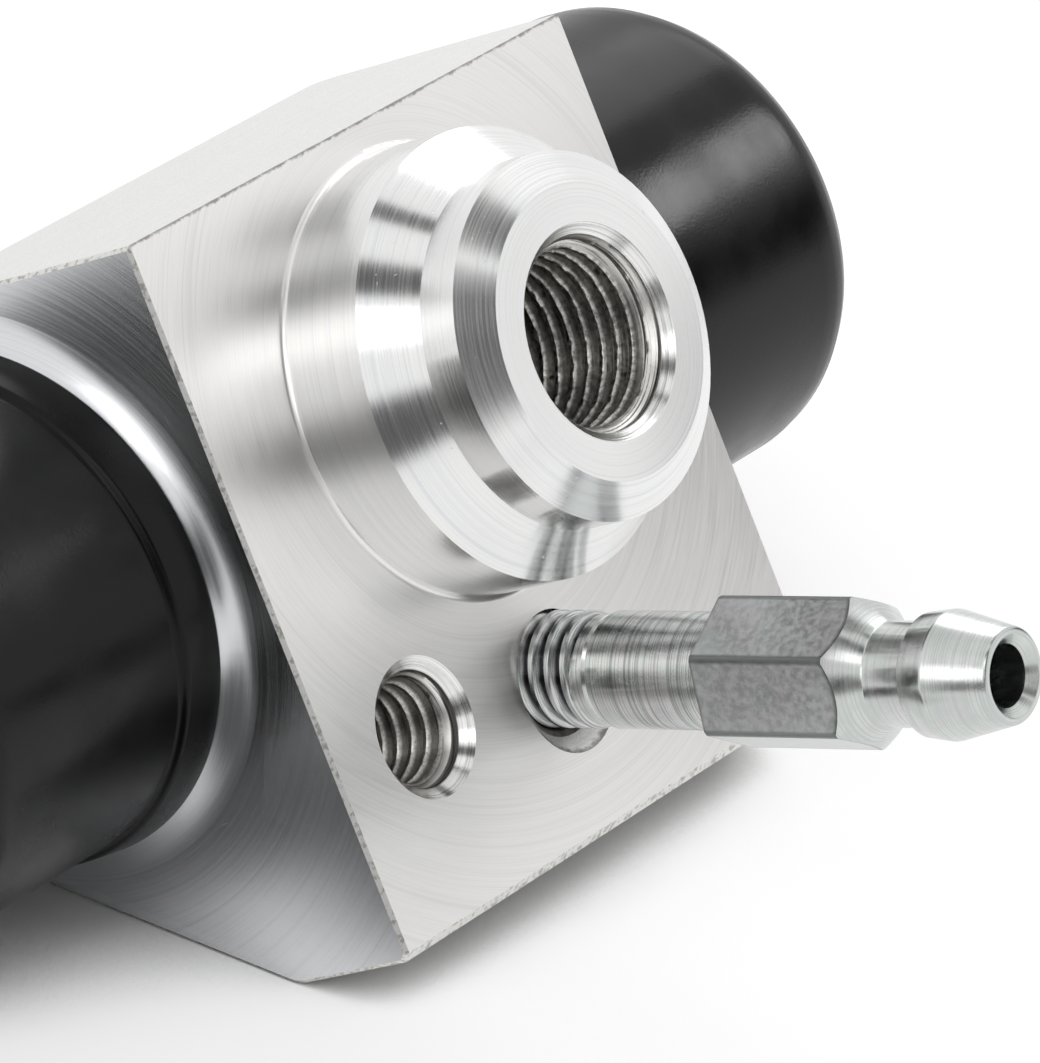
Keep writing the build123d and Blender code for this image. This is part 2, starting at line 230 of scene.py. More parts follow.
floor = bpy.data.objects.new("floor", bpy.data.meshes.new("floor"))
half = FLOOR_SIZE / 2
corners = [(-half, -half, 0), (half, -half, 0), (half, half, 0), (-half, half, 0)]
floor.data.from_pydata(corners, [], [(0, 1, 2, 3)])
bpy.context.scene.collection.objects.link(floor)
paper = bpy.data.materials.new("matte_white_paper")
paper.use_nodes = True
tree = paper.node_tree
tree.nodes.clear()
sky = add(tree, "AmbientOcclusion", {"Distance": SHADOW_REACH}, samples=SHADOW_SAMPLES)
clear = add(tree, "MapRange", {0: sky.outputs["AO"], 1: SHADOW_SKY, 2: CLEAR_SKY}, **EASED)
seen = white_rays(tree)
paper_white = add(tree, "Mix", {0: seen, 6: "#F2F2F2", 7: "#B8B8B8"}, **COLOURS)
matte = add(tree, "BsdfDiffuse", {"Color": paper_white})
strength = add(tree, "Math", {0: seen, 1: FLOOR_GLOW}, operation="MULTIPLY")
strength = add(tree, "Math", {0: strength, 1: clear}, operation="MULTIPLY")
glow = add(tree, "Emission", {"Color": "#FFFFFF", "Strength": strength})
both = add(tree, "AddShader", {0: matte, 1: glow})
add(tree, "OutputMaterial", {"Surface": both})
floor.data.materials.append(paper)
print("floor:", FLOOR_SIZE, "m wide, shadow up to", SHADOW_REACH, "m from the object")

# %% [markdown]
# ### Lamps and cards
#
# A direction is an azimuth from +X towards +Y and a height above the horizon, in degrees. A size is
# the angle that the lamp or card fills. Most of them stand round the middle of the object. The
# black boots get lamps and cards of their own, close by, and two cards lie just over the floor
# beside the near boot, where they darken what the end face mirrors. A picture of a studio round the
# object would light it too, but lamps and cards can be moved one by one, until each streak lies
# where the photograph has it.

# %% Lamps
STAGE_MIDDLE = Vector((0, 0, 0.02))
FAR_BOOT = Vector((0.028, 0.01, 0.027))
NEAR_BOOT = Vector((-0.025, 0.01, 0.02))
UNDER_NEAR_BOOT = Vector((-0.032, 0.017, 0.02))
BESIDE_NEAR_BOOT = Vector((-0.04, -0.006, 0.02))


def facing(azimuth, elevation, distance, seen_from):
    """The matrix of something that stands there and faces the object."""
    a, e = radians(azimuth), radians(elevation)
    away = Vector((cos(a) * cos(e), sin(a) * cos(e), sin(e)))
    turned_back = away.to_track_quat("Z", "Y").to_matrix().to_4x4()
    return Matrix.Translation(seen_from + away * distance) @ turned_back


def softbox(
    name, azimuth, elevation, width, height, brightness, distance=0.6, seen_from=STAGE_MIDDLE
):
    """A rectangular lamp. Sizes are angles in degrees; brightness 1 is white."""
    lamp = bpy.data.objects.new(name, bpy.data.lights.new(name, "AREA"))
    bpy.context.scene.collection.objects.link(lamp)
    lamp.matrix_world = facing(azimuth, elevation, distance, seen_from)
    lamp.data.shape = "RECTANGLE"
    lamp.data.size = 2 * distance * tan(radians(width / 2))
    lamp.data.size_y = 2 * distance * tan(radians(height / 2))
    lamp.data.energy = brightness * pi * lamp.data.size * lamp.data.size_y
    return lamp


softbox("lamp_back_right", 28, 42, 36, 36, 1.4)
boot_lamp = softbox("lamp_front_right", -29, 29, 18, 15, 9.0, distance=0.2, seen_from=FAR_BOOT)
softbox("lamp_left", 176, 24, 24, 24, 1.5, distance=0.3, seen_from=NEAR_BOOT)
softbox("lamp_over_camera", -148, 50, 30, 14, 1.2)
print("four soft lamps")

# %% Cards
CARD_GREY = 0.1
CARD_FADE = 0.5

black_card = bpy.data.materials.new("black_card")
black_card.use_nodes = True
tree = black_card.node_tree
tree.nodes.clear()
on_card = add(tree, "TexCoord").outputs["Object"]
from_middle = add(tree, "VectorMath", {0: on_card}, operation="LENGTH")
cover = add(tree, "MapRange", {0: from_middle, 1: CARD_FADE, 2: 1.0, 3: 1.0, 4: 0.0}, **EASED)
clear = add(tree, "BsdfTransparent")
dark = add(tree, "Emission", {"Color": "#FFFFFF", "Strength": CARD_GREY})
soft_edged = add(tree, "MixShader", {0: cover, 1: clear, 2: dark})
add(tree, "OutputMaterial", {"Surface": soft_edged})


def card(name, azimuth, elevation, width, height, distance=0.5, seen_from=STAGE_MIDDLE):
    """A dark oval card that fades out at its edge. Only reflections see it."""
    made = bpy.data.objects.new(name, bpy.data.meshes.new(name))
    made.data.from_pydata([(-1, -1, 0), (1, -1, 0), (1, 1, 0), (-1, 1, 0)], [], [(0, 1, 2, 3)])
    made.data.materials.append(black_card)
    bpy.context.scene.collection.objects.link(made)
    w, h = [distance * tan(radians(size / 2)) for size in (width, height)]
    stood = facing(azimuth, elevation, distance, seen_from)
    made.matrix_world = stood @ Matrix.Diagonal((w, h, 1, 1))
    made.visible_camera = False
    made.visible_diffuse = False
    made.visible_shadow = False
    made.visible_transmission = False


card("card_right", -102, 36, 42, 62)
card("card_camera", -137, 12, 44, 32)
card("card_top", -144, 69, 50, 18)
card("card_crown", -44, 67, 36, 18)
card("card_zenith", 20, 83, 30, 11)
card("card_low", -41, 3, 44, 24, distance=0.11, seen_from=FAR_BOOT)
card("card_left", -155, 0, 46, 34, distance=0.12, seen_from=NEAR_BOOT)
card("card_back", 92, 42, 60, 34)
card("card_under_boot", 0, -90, 82, 82, distance=0.0195, seen_from=UNDER_NEAR_BOOT)
card("card_beside_boot", 0, -90, 96, 96, distance=0.0195, seen_from=BESIDE_NEAR_BOOT)
print("ten dark cards")


# %% [markdown]
# ## Shapes
#
# Nearly every piece here comes off a lathe, so most shapes are rings round an axis. A ring holds a
# radius and a height for every angle. With both the same all round it is plain turning. When the
# height climbs with the angle the rings follow a screw thread exactly, and when the radius changes
# with the angle they make a hexagon. So one function builds every turned, threaded or hexagonal
# piece as one closed mesh, and its edges stay sharp where the real ones are.


# %% A piece from points
WELD_DISTANCE = 1e-7
SHARP_ANGLE = radians(30)


def piece(name, vertices, faces, place):
    """A shown object from points in a feature's frame, with shading that keeps its sharp edges."""
    mesh = bpy.data.meshes.new(name)
    mesh.from_pydata([tuple(v) for v in vertices], [], faces)
    mesh.transform(PLACE @ place)
    work = bmesh.new()
    work.from_mesh(mesh)
    bmesh.ops.remove_doubles(work, verts=work.verts, dist=WELD_DISTANCE)
    bmesh.ops.dissolve_degenerate(work, edges=work.edges, dist=WELD_DISTANCE)
    bmesh.ops.recalc_face_normals(work, faces=work.faces)
    work.to_mesh(mesh)
    work.free()
    mesh.shade_smooth()
    mesh.set_sharp_from_angle(angle=SHARP_ANGLE)
    made = bpy.data.objects.new(name, mesh)
    bpy.context.scene.collection.objects.link(made)
    return made


# %% A piece from rings
def all_round(count):
    """That many angles round the axis."""
    return np.linspace(0, 2 * pi, count, endpoint=False)


def ringed(name, rings, angles, place, closed=False):
    """A piece from rings of radii and heights. A closed outline joins its last ring to its first.
    A ring of a thread also says how many rings on it has climbed to after one turn."""
    count = len(angles)
    points, climbs = [], []
    for radii, heights, *climb in rings:
        radii, heights = np.broadcast_to(radii, count), np.broadcast_to(heights, count)
        points += list(zip(radii * np.cos(angles), radii * np.sin(angles), heights))
        climbs.append(climb[0] if climb else 0)
    faces = []
    for ring in range(len(rings) if closed else len(rings) - 1):
        above = (ring + 1) % len(rings)
        low, high = ring * count, above * count
        faces += [(low + i, low + i + 1, high + i + 1, high + i) for i in range(count - 1)]
        low_end, high_end = (ring + climbs[ring]) * count, (above + climbs[above]) * count
        faces.append((low + count - 1, low_end, high_end, high + count - 1))
    made = piece(name, points, faces, place)
    print(name, len(made.data.polygons), "faces")
    return made


# %% [markdown]
# An outline can be drawn with sharp corners, as on a drawing, each with the radius that it gets.
# The arc starts and ends where it touches the two runs. Long runs can be cut into more points.


# %% Outlines
def rounded(outline, closed=False, steps=5):
    """The points of an outline of (radius, height, corner radius), its corners rounded."""
    result = []
    count = len(outline)
    for i, (r, h, corner) in enumerate(outline):
        here = Vector((r, h))
        ends = not closed and i in (0, count - 1)
        if ends or corner == 0:
            result.append((r, h))
            continue
        before = (Vector(outline[i - 1][:2]) - here).normalized()
        after = (Vector(outline[(i + 1) % count][:2]) - here).normalized()
        half_angle = acos(max(-1, min(1, before.dot(after)))) / 2
        middle = here + (before + after).normalized() * (corner / sin(half_angle))
        start = here + before * (corner / tan(half_angle)) - middle
        end = here + after * (corner / tan(half_angle)) - middle
        sweep = pi - 2 * half_angle
        for k in range(steps + 1):
            part = k / steps
            arm = (start * sin((1 - part) * sweep) + end * sin(part * sweep)) / sin(sweep)
            result.append(tuple(middle + arm))
    return result


def refined(points, longest):
    """The outline with its long runs cut into steps, so that rings lie all along it."""
    result = [points[0]]
    for (r0, h0), (r1, h1) in zip(points, points[1:]):
        steps = max(1, round(((r1 - r0) ** 2 + (h1 - h0) ** 2) ** 0.5 / longest))
        result += [
            (r0 + (r1 - r0) * k / steps, h0 + (h1 - h0) * k / steps) for k in range(1, steps + 1)
        ]
    return result


# %% [markdown]
# ### Screw threads
#
# A metric thread repeats one small profile every pitch: a flat crest, a 60 degree flank, a root and
# a flank back. Each pair of the profile is a share of the pitch and a share of the depth, with the
# corners eased. All threads here (M10 x 1 and M6 x 1) have a pitch of 1 mm, and the rings climb one
# pitch per turn. Where the thread runs in or out its depth fades, as it does where the tap stops.


# %% Thread rings
PITCH = 1.0
THREAD_PROFILE = [
    (0.0, 0.0), (0.07, 0.0), (0.16, 0.12), (0.36, 0.88), (0.43, 1.0),
    (0.64, 1.0), (0.71, 0.88), (0.91, 0.12), (1.0, 0.0),
]


def thread_rings(angles, start, end, root, crest, fade=0.0, turn_by=0.0):
    """Rings of a thread from one height up to another, fading out over the last stretch."""
    shares, depths = zip(*THREAD_PROFILE)
    lead = (angles / (2 * pi) + turn_by) * PITCH
    rings = []
    first, last = int(np.floor(start / PITCH)) - 2, int(np.ceil(end / PITCH)) + 1
    for turn_number in range(first, last):
        for share in shares[:-1]:
            heights = np.clip((turn_number + share) * PITCH + lead, start, end)
            depth = np.interp(((heights - lead) / PITCH) % 1.0, shares, depths)
            if fade:
                depth = depth * np.clip((end - heights) / fade, 0, 1)
            rings.append((root + (crest - root) * depth, heights))
    per_turn = len(shares) - 1
    climbs = [min(per_turn, len(rings) - 1 - k) for k in range(len(rings))]
    return [(*ring, climb) for ring, climb in zip(rings, climbs)]


# %% [markdown]
# ## Dust boots
#
# Each boot is moulded rubber. Its cuff clips into a groove of the body, and a wall at the far end
# closes round the piston. Rubber has no sharp edges, so every corner gets a radius. That needs
# rings all along the sleeve, which is why the outline is refined. A subdivision surface would
# round the corners too, but arcs of a known radius keep every size exact.

# %% Boot outline
BOOT_LENGTH = 20.1
BOOT_RADIUS = 12.9
BOOT_INNER_RADIUS = 11.75
BOOT_CUFF_RADIUS = 13.6
BOOT_CUFF_TAPER = 0.35
BOOT_CLIP_INNER_RADIUS = 10.95
BOOT_HOLE_RADIUS = 5.65
BOOT_START = 0.9
BOOT_CUFF_END = 3.2
BOOT_SLEEVE_START = 3.45
BOOT_CLIP_END = 3.25
BOOT_FLOOR = BOOT_LENGTH - 1.9
BOOT_SHOULDER = 2.7
BOOT_SEGMENTS = 144
BOOT_LONGEST_RUN = 0.9

boot_outline = [
    (BOOT_CLIP_INNER_RADIUS, BOOT_START, 0.15),
    (BOOT_CUFF_RADIUS, BOOT_START, 0.2),
    (BOOT_CUFF_RADIUS - BOOT_CUFF_TAPER, BOOT_CUFF_END, 0.45),
    (BOOT_RADIUS, BOOT_SLEEVE_START, 0.45),
    (BOOT_RADIUS, BOOT_LENGTH, BOOT_SHOULDER),
    (BOOT_HOLE_RADIUS, BOOT_LENGTH, 0.2),
    (BOOT_HOLE_RADIUS, BOOT_FLOOR, 0.2),
    (BOOT_INNER_RADIUS, BOOT_FLOOR, 0.8),
    (BOOT_INNER_RADIUS, BOOT_CLIP_END, 0.15),
    (BOOT_CLIP_INNER_RADIUS, BOOT_CLIP_END, 0.15),
]
boot_points = rounded(boot_outline, closed=True)
boot_points = refined(boot_points + boot_points[:1], BOOT_LONGEST_RUN)[:-1]
print("boot outline:", len(boot_points), "points")

boots = []
for side, end_frame, direction in (("left", left_end, -1), ("right", right_end, 1)):
    boot = ringed(f"{side}_boot", boot_points, all_round(BOOT_SEGMENTS), end_frame, closed=True)
    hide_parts(f"{side}_dust_boot")
    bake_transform(boot)
    boots.append(boot)

# %% [markdown]
# Black rubber gives back only a few percent of the light, so the lamp at the far boot is strong. It
# would wash out the pale metal beside it, so light linking lets it reach the boots and the floor
# alone.

# %% What the boot lamp reaches
lit_by_boot_lamp = bpy.data.collections.new("lit_by_boot_lamp")
for lit in (floor, *boots):
    lit_by_boot_lamp.objects.link(lit)
boot_lamp.light_linking.receiver_collection = lit_by_boot_lamp

# %% [markdown]
# ## Return spring
#
# The spring sits between the two cup expanders. No joint joins the pistons, so the wire is made as
# two halves that meet in the middle of the body, each reaching out towards its piston. A bevelled
# curve would give the same coil, but a mesh of its own has a ring of points at every step.

# %% Spring halves
SPRING_RADIUS = 4.6
WIRE_RADIUS = 0.5
SPRING_REACH = 6.1
SPRING_HALF_TURNS = 2.75
WIRE_STEPS = 160
WIRE_SIDES = 14


def wire(name, direction):
    """Half of the coil, from the middle of the body outwards, with flat ends."""
    vertices, faces = [], []
    climb = SPRING_REACH / (2 * pi * SPRING_HALF_TURNS)
    for k in range(WIRE_STEPS + 1):
        a = direction * 2 * pi * SPRING_HALF_TURNS * k / WIRE_STEPS
        outward = Vector((cos(a), sin(a), 0))
        along = Vector((-SPRING_RADIUS * sin(a), SPRING_RADIUS * cos(a), climb)).normalized()
        across = along.cross(outward)
        middle = outward * SPRING_RADIUS + Vector((0, 0, climb * a))
        for side in range(WIRE_SIDES):
            b = 2 * pi * side / WIRE_SIDES
            vertices.append(middle + (outward * cos(b) + across * sin(b)) * WIRE_RADIUS)
    for k in range(WIRE_STEPS):
        for side in range(WIRE_SIDES):
            a, b = k * WIRE_SIDES + side, k * WIRE_SIDES + (side + 1) % WIRE_SIDES
            faces.append((a, b, b + WIRE_SIDES, a + WIRE_SIDES))
    faces.append(tuple(range(WIRE_SIDES)))
    faces.append(tuple(range(WIRE_STEPS * WIRE_SIDES, (WIRE_STEPS + 1) * WIRE_SIDES)))
    return piece(name, vertices, faces, bore)


spring_halves = []
for side, direction in (("left", -1), ("right", 1)):
    half_spring = wire(f"spring_{side}_half", direction)
    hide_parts("return_spring")
    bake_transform(half_spring)
    spring_halves.append(half_spring)
print("spring in two halves of", WIRE_STEPS, "steps")

# %% [markdown]
# ## Bleed screw
#
# The bleed screw is turned from hexagon bar: the spanner's hexagon is what is left of the bar, and
# everything else was cut round. It is one closed skin that starts at the bottom of the drain
# drilling, comes up inside the nipple, goes over the barb and runs back over the hexagon and the
# thread to the seat cone. The cone that ends the hexagon meets each flat in a curve, and a ring
# whose height changes with the angle follows that curve exactly. On that 45 degree cone a radius
# and its height always have the same sum.

# %% Hexagon of the bleed screw
HEX_START = 10.95
HEX_HEIGHT = 8.0
HEX_APOTHEM = 3.5
HEX_CORNER = 3.97
HEX_SHARP_CORNER = 4.041
HEX_CONE_RADIUS = 3.0
HEX_EDGE = 0.06
SCREW_SEGMENTS = 120
SHANK_RADIUS = 2.95
CONE_SUM = HEX_START + HEX_HEIGHT + HEX_SHARP_CORNER
CONE_END = CONE_SUM - HEX_CONE_RADIUS

corner_angles = np.radians(30 + 60 * np.arange(6))
near_corner = np.radians(2.2)
screw_angles = np.concatenate(
    [all_round(SCREW_SEGMENTS), corner_angles - near_corner, corner_angles + near_corner]
)
screw_angles = np.unique(np.round(screw_angles, 6))
from_flat = (screw_angles - pi / 6) % (pi / 3) - pi / 6
hexagon = np.minimum(HEX_APOTHEM / np.cos(from_flat), HEX_CORNER)
hexagon_rings = [
    (hexagon, CONE_SUM - hexagon),
    (hexagon, HEX_START + HEX_EDGE),
    (hexagon - HEX_EDGE, HEX_START),
    (SHANK_RADIUS, HEX_START),
]
print("hexagon:", len(screw_angles), "angles,", 2 * HEX_APOTHEM, "mm across its flats")

# %% [markdown]
# The nipple has a barb that holds a hose, and a neck behind it. Below the hexagon come the shank, a
# groove where the die runs out, the thread and the cone that closes the seat in the body.

# %% Outline of the bleed screw
MOUTH_RADIUS = 1.57
MOUTH_END = -6.5
DRILLING_RADIUS = 0.9
DRILLING_END = -8.7
NIPPLE_TIP = 27.8
TIP_CHAMFER = 0.48
BARB_RADIUS = 3.24
BARB_HEIGHT = 24.45
BARB_BACK = 22.95
NECK_RADIUS = 2.62
RELIEF_RADIUS = 2.66
RELIEF_TOP = 3.75
RELIEF_BOTTOM = 3.55
RUNOUT_RADIUS = 2.78
THREAD_RADIUS = 2.96
THREAD_ROOT = 2.42
THREAD_END = 2.6
THREAD_START = -7.5
SEAT_RADIUS = 2.3
SEAT_CONE_START = -10.6
SEAT_TIP_RADIUS = 0.9
SCREW_END = -12.0

drain = [
    (0, DRILLING_END),
    (DRILLING_RADIUS, DRILLING_END),
    (DRILLING_RADIUS, MOUTH_END),
    (MOUTH_RADIUS, MOUTH_END),
    (MOUTH_RADIUS, NIPPLE_TIP - TIP_CHAMFER),
]
nipple = rounded(
    [
        (MOUTH_RADIUS, NIPPLE_TIP - TIP_CHAMFER, 0),
        (2.05, NIPPLE_TIP, 0.06),
        (2.4, NIPPLE_TIP, 0.22),
        (BARB_RADIUS, BARB_HEIGHT, 0.5),
        (3.08, BARB_BACK, 0.08),
        (NECK_RADIUS, BARB_BACK, 0.1),
        (NECK_RADIUS, CONE_END + 0.55, 0.2),
        (HEX_CONE_RADIUS, CONE_END, 0),
    ],
    steps=4,
)
shank = [
    (SHANK_RADIUS, 3.87),
    (2.83, RELIEF_TOP),
    (RELIEF_RADIUS, RELIEF_TOP),
    (RELIEF_RADIUS, RELIEF_BOTTOM),
    (RUNOUT_RADIUS, 3.4),
    (RUNOUT_RADIUS, THREAD_END + 0.25),
]
seat = [
    (SEAT_RADIUS, THREAD_START),
    (SEAT_RADIUS, SEAT_CONE_START),
    (SEAT_TIP_RADIUS, SCREW_END),
    (0, SCREW_END),
]
print("bleed screw:", NIPPLE_TIP - SCREW_END, "mm long")

# %% Bleed screw
thread = thread_rings(
    screw_angles, THREAD_START, THREAD_END, THREAD_ROOT, THREAD_RADIUS, turn_by=0.35
)
thread_down = [(radii, heights, -climb) for radii, heights, climb in reversed(thread)]
rings = drain + nipple[1:] + hexagon_rings + shank + thread_down + seat
bleed_screw = ringed("bleed_screw", rings, screw_angles, bleeder)
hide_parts("bleeder_screw")
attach(bleed_screw, "bleeder")

# %% [markdown]
# ## Tapped holes
#
# In the CAD model the two tapped holes are plain, at the thread's largest radius. A tap leaves
# ridges that stand in from that wall. The body's mesh stays as it was packed, so the ridges aren't
# cut into it. Each thread is a thin closed sleeve instead: ridges inside, and outside a plain
# cylinder that sits a hair inside the metal of the wall. A tap also tears soft aluminium a little,
# most at the crests, so each point moves in or out at random by a small share of its height on the
# ridge. Depths are counted from the mouth.

# %% Tapped threads
WALL_BITE = 0.04
ROOT_CLEARANCE = 0.02
INLET_CREST = 4.48
MOUNTING_CREST = 2.5


def tapped(name, mouth, radius, crest, top, bottom, segments, fade, turn_by, tear):
    """The ridges of a tapped hole as a closed sleeve between two depths below the mouth."""
    angles = all_round(segments)
    inner = thread_rings(angles, -bottom, -top, radius - ROOT_CLEARANCE, crest, fade, turn_by)
    torn = np.random.default_rng(segments)
    inner = [
        (radii + tear * (radius - radii) * torn.standard_normal(segments), heights, climb)
        for radii, heights, climb in inner
    ]
    outer = [(radius + WALL_BITE, -top), (radius + WALL_BITE, -bottom)]
    made = ringed(name, inner + outer, angles, mouth, closed=True)
    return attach(made, "housing")


inlet_thread = tapped(
    "inlet_thread", boss_mouth, radius=5.0, crest=INLET_CREST, top=0.52, bottom=9.55,
    segments=144, fade=1.0, turn_by=0.45, tear=0.03,
)
mounting_thread = tapped(
    "mounting_thread", mounting_hole, radius=3.0, crest=MOUNTING_CREST, top=0.62, bottom=9.9,
    segments=108, fade=1.1, turn_by=0.1, tear=0.01,
)

# %% [markdown]
# ## Finishes
#
# A turned or faced surface is covered in fine grooves that run round an axis. They scatter light
# across themselves and hardly along themselves, so every highlight is drawn out into a streak. In
# the shader that is anisotropy, and it needs to know which way the grooves run at each point: the
# direction round the axis, which is the cross product of the axis and the arm from it. It is turned
# with the piece, so the streaks stay right in every pose, and a rotation of a quarter turn lays
# them across the grooves. Modelled grooves would need millions of faces, and a picture of them
# would blur close up, so a noise that is drawn out along them gives their relief and shade.
#
# All patterns are laid out in millimetres, so a noise's scale is how often it changes per mm. Most
# of a noise lies between 0.3 and 0.7, and the nearer the two ends of a range are, the harder the
# edges that it draws.


# %% Helpers for finishes
TO_WORLD = {"vector_type": "VECTOR", "convert_from": "OBJECT", "convert_to": "WORLD"}
TURNED = {"Metallic": 1.0, "Anisotropic Rotation": 0.25}


def finish(name, sockets):
    """A new material and its Principled shader, with what is the same all over set on it."""
    made = bpy.data.materials.new(name)
    made.use_nodes = True
    tree = made.node_tree
    return made, tree, fill(tree, tree.nodes["Principled BSDF"], sockets)


def around(tree, place):
    """A point about a feature's axis: direction round it, radius, height and arm, all in mm."""
    origin = (PLACE @ place).translation
    axis = ((PLACE @ place).to_3x3() @ Vector((0, 0, 1))).normalized()
    here = add(tree, "TexCoord").outputs["Object"]
    arm = add(tree, "VectorMath", {0: here, 1: origin}, operation="SUBTRACT")
    arm = add(tree, "VectorMath", {0: arm, "Scale": 1 / MM}, operation="SCALE")
    direction = add(tree, "VectorMath", {0: axis, 1: arm}, operation="CROSS_PRODUCT")
    radius = add(tree, "VectorMath", {0: direction}, operation="LENGTH")
    height = add(tree, "VectorMath", {0: axis, 1: arm}, operation="DOT_PRODUCT")
    return direction, radius, height, arm


def grooves(tree, radius, height, arm, per_mm, wander):
    """Noise that is drawn out along the grooves: it changes fast across them, slowly along them."""
    across = add(tree, "CombineXYZ", {0: radius, 1: height})
    across = add(tree, "VectorMath", {0: across, "Scale": per_mm}, operation="SCALE")
    along = add(tree, "VectorMath", {0: arm, "Scale": wander}, operation="SCALE")
    vector = add(tree, "VectorMath", {0: across, 1: along}, operation="ADD")
    return add(tree, "TexNoise", {"Vector": vector, "Scale": 1.0, "Detail": 3.0, "Roughness": 0.6})


# %% [markdown]
# Handling leaves a few marks on soft metal. A noise that is stretched into long thin streaks, and
# that shows only at its highest values, gives marks that are sparse and lie one way.

# %% Scratches
SCRATCH_STRETCH = (3.0, 0.35, 7.0)
SCRATCH_FROM = 0.78
SCRATCH_FULL = 0.82
SCRATCH_LEANS = (0.6, 2.1)
SCRATCH_DEPTH = 0.004


def scratches(tree, arm, lean):
    """Sparse thin marks of handling along one slant: 0 on clean metal, 1 in a mark."""
    slant = add(tree, "VectorRotate", {"Vector": arm, "Angle": lean}, rotation_type="X_AXIS")
    long = add(tree, "VectorMath", {0: slant, 1: SCRATCH_STRETCH}, operation="MULTIPLY")
    marks = add(tree, "TexNoise", {"Vector": long, "Scale": 1.0, "Detail": 1.0})
    return add(tree, "MapRange", {0: marks, 1: SCRATCH_FROM, 2: SCRATCH_FULL}, **EASED)


# %% [markdown]
# ### Turned aluminium
#
# The boss, the end faces and the pistons were cut on a lathe, and the mounting face was faced about
# the boss. The tool leaves grooves about 0.1 mm apart, and every third of a millimetre or so a
# deeper one. Both show as a slight change of shade and as relief.


# %% Turned aluminium
DEEP_SPACING = 3
DEEP_STEADINESS = 6


def turned_aluminium(name, place, pale, dull, rough, anisotropic, per_mm, depth, wander=0.1):
    """Aluminium turned about a feature's axis: fine short grooves, and a few long exact ones."""
    made, tree, shader = finish(name, {**TURNED, "Roughness": rough, "Anisotropic": anisotropic})
    direction, radius, height, arm = around(tree, place)
    fine = grooves(tree, radius, height, arm, per_mm, wander)
    deep = grooves(tree, radius, height, arm, per_mm / DEEP_SPACING, wander / DEEP_STEADINESS)
    fine_shade = add(tree, "MapRange", {0: fine, 1: 0.3, 2: 0.6, 3: 0.3, 4: 1.0}, **EASED)
    deep_shade = add(tree, "MapRange", {0: deep, 1: 0.3, 2: 0.46}, **EASED)
    shade = add(tree, "Math", {0: fine_shade, 1: deep_shade}, operation="MULTIPLY")
    spread = {3: rough - 0.03, 4: rough + 0.03}
    relief = add(tree, "Math", {0: fine, 1: deep}, operation="ADD")
    grooved = add(tree, "Bump", {"Distance": depth * MM, "Height": relief})
    first, second = [scratches(tree, arm, lean) for lean in SCRATCH_LEANS]
    marks = add(tree, "Math", {0: first, 1: second}, operation="ADD")
    cut = {"Distance": -SCRATCH_DEPTH * MM, "Height": marks, "Normal": grooved}
    fill(tree, shader, {
        "Base Color": add(tree, "Mix", {0: shade, 6: dull, 7: pale}, **COLOURS),
        "Roughness": add(tree, "MapRange", {0: fine, 1: 0.3, 2: 0.7, **spread}, **EASED),
        "Normal": add(tree, "Bump", cut),
        "Tangent": add(tree, "VectorTransform", {0: direction}, **TO_WORLD),
    })
    return made


boss_turned = turned_aluminium(
    "turned_aluminium_boss", boss, "#ECECEB", "#DEDFE1",
    rough=0.18, anisotropic=0.75, per_mm=10.0, depth=0.0022,
)
face_turned = turned_aluminium(
    "faced_aluminium_mounting_face", boss, "#F2F1EF", "#E7E6E4",
    rough=0.34, anisotropic=0.5, per_mm=15.0, depth=0.0025, wander=0.3,
)
end_turned = turned_aluminium(
    "turned_aluminium_ends", bore, "#DCDDDF", "#D0D2D5",
    rough=0.24, anisotropic=0.5, per_mm=13.0, depth=0.0015,
)
piston_turned = turned_aluminium(
    "turned_aluminium_piston", bore, "#E2E2E0", "#D6D6D4",
    rough=0.25, anisotropic=0.6, per_mm=9.0, depth=0.003,
)
sink_turned = turned_aluminium(
    "countersunk_aluminium", mounting_hole, "#F0F0EE", "#B4B4B3",
    rough=0.18, anisotropic=0.7, per_mm=8.0, depth=0.005,
)
mouth_turned = turned_aluminium(
    "countersunk_aluminium_inlet", boss_mouth, "#F0F0EE", "#6E6E6D",
    rough=0.2, anisotropic=0.7, per_mm=8.0, depth=0.02,
)
print("turned aluminium: boss, mounting face, ends, pistons, countersink, inlet mouth")

# %% [markdown]
# ### Extruded aluminium
#
# The top, the back and the undersides are the skin of the bar as it left the die: pale and matte,
# with faint lines along the bar, which the die draws, about 0.2 mm apart.

# %% Extruded aluminium
DIE_LINES = (0.05, 5.0, 5.0)

bar_skin, tree, shader = finish("extruded_aluminium_skin", {"Metallic": 1.0, "Roughness": 0.5})
_, _, _, arm = around(tree, bore)
drawn_out = add(tree, "VectorMath", {0: arm, 1: DIE_LINES}, operation="MULTIPLY")
lines = add(tree, "TexNoise", {"Vector": drawn_out, "Scale": 1.0, "Detail": 3.0})
specks = add(tree, "TexNoise", {"Vector": arm, "Scale": 9.0, "Detail": 4.0})
speckled = add(tree, "MapRange", {0: specks, 1: 0.35, 2: 0.65}, **EASED)
relief = add(tree, "Math", {0: lines, 1: specks}, operation="ADD")
fill(tree, shader, {
    "Base Color": add(tree, "Mix", {0: speckled, 6: "#DEDEDC", 7: "#EAEAE8"}, **COLOURS),
    "Roughness": add(tree, "MapRange", {0: lines, 1: 0.3, 2: 0.7, 3: 0.42, 4: 0.58}, **EASED),
    "Normal": add(tree, "Bump", {"Distance": 0.012 * MM, "Height": relief}),
})
print("extruded aluminium")

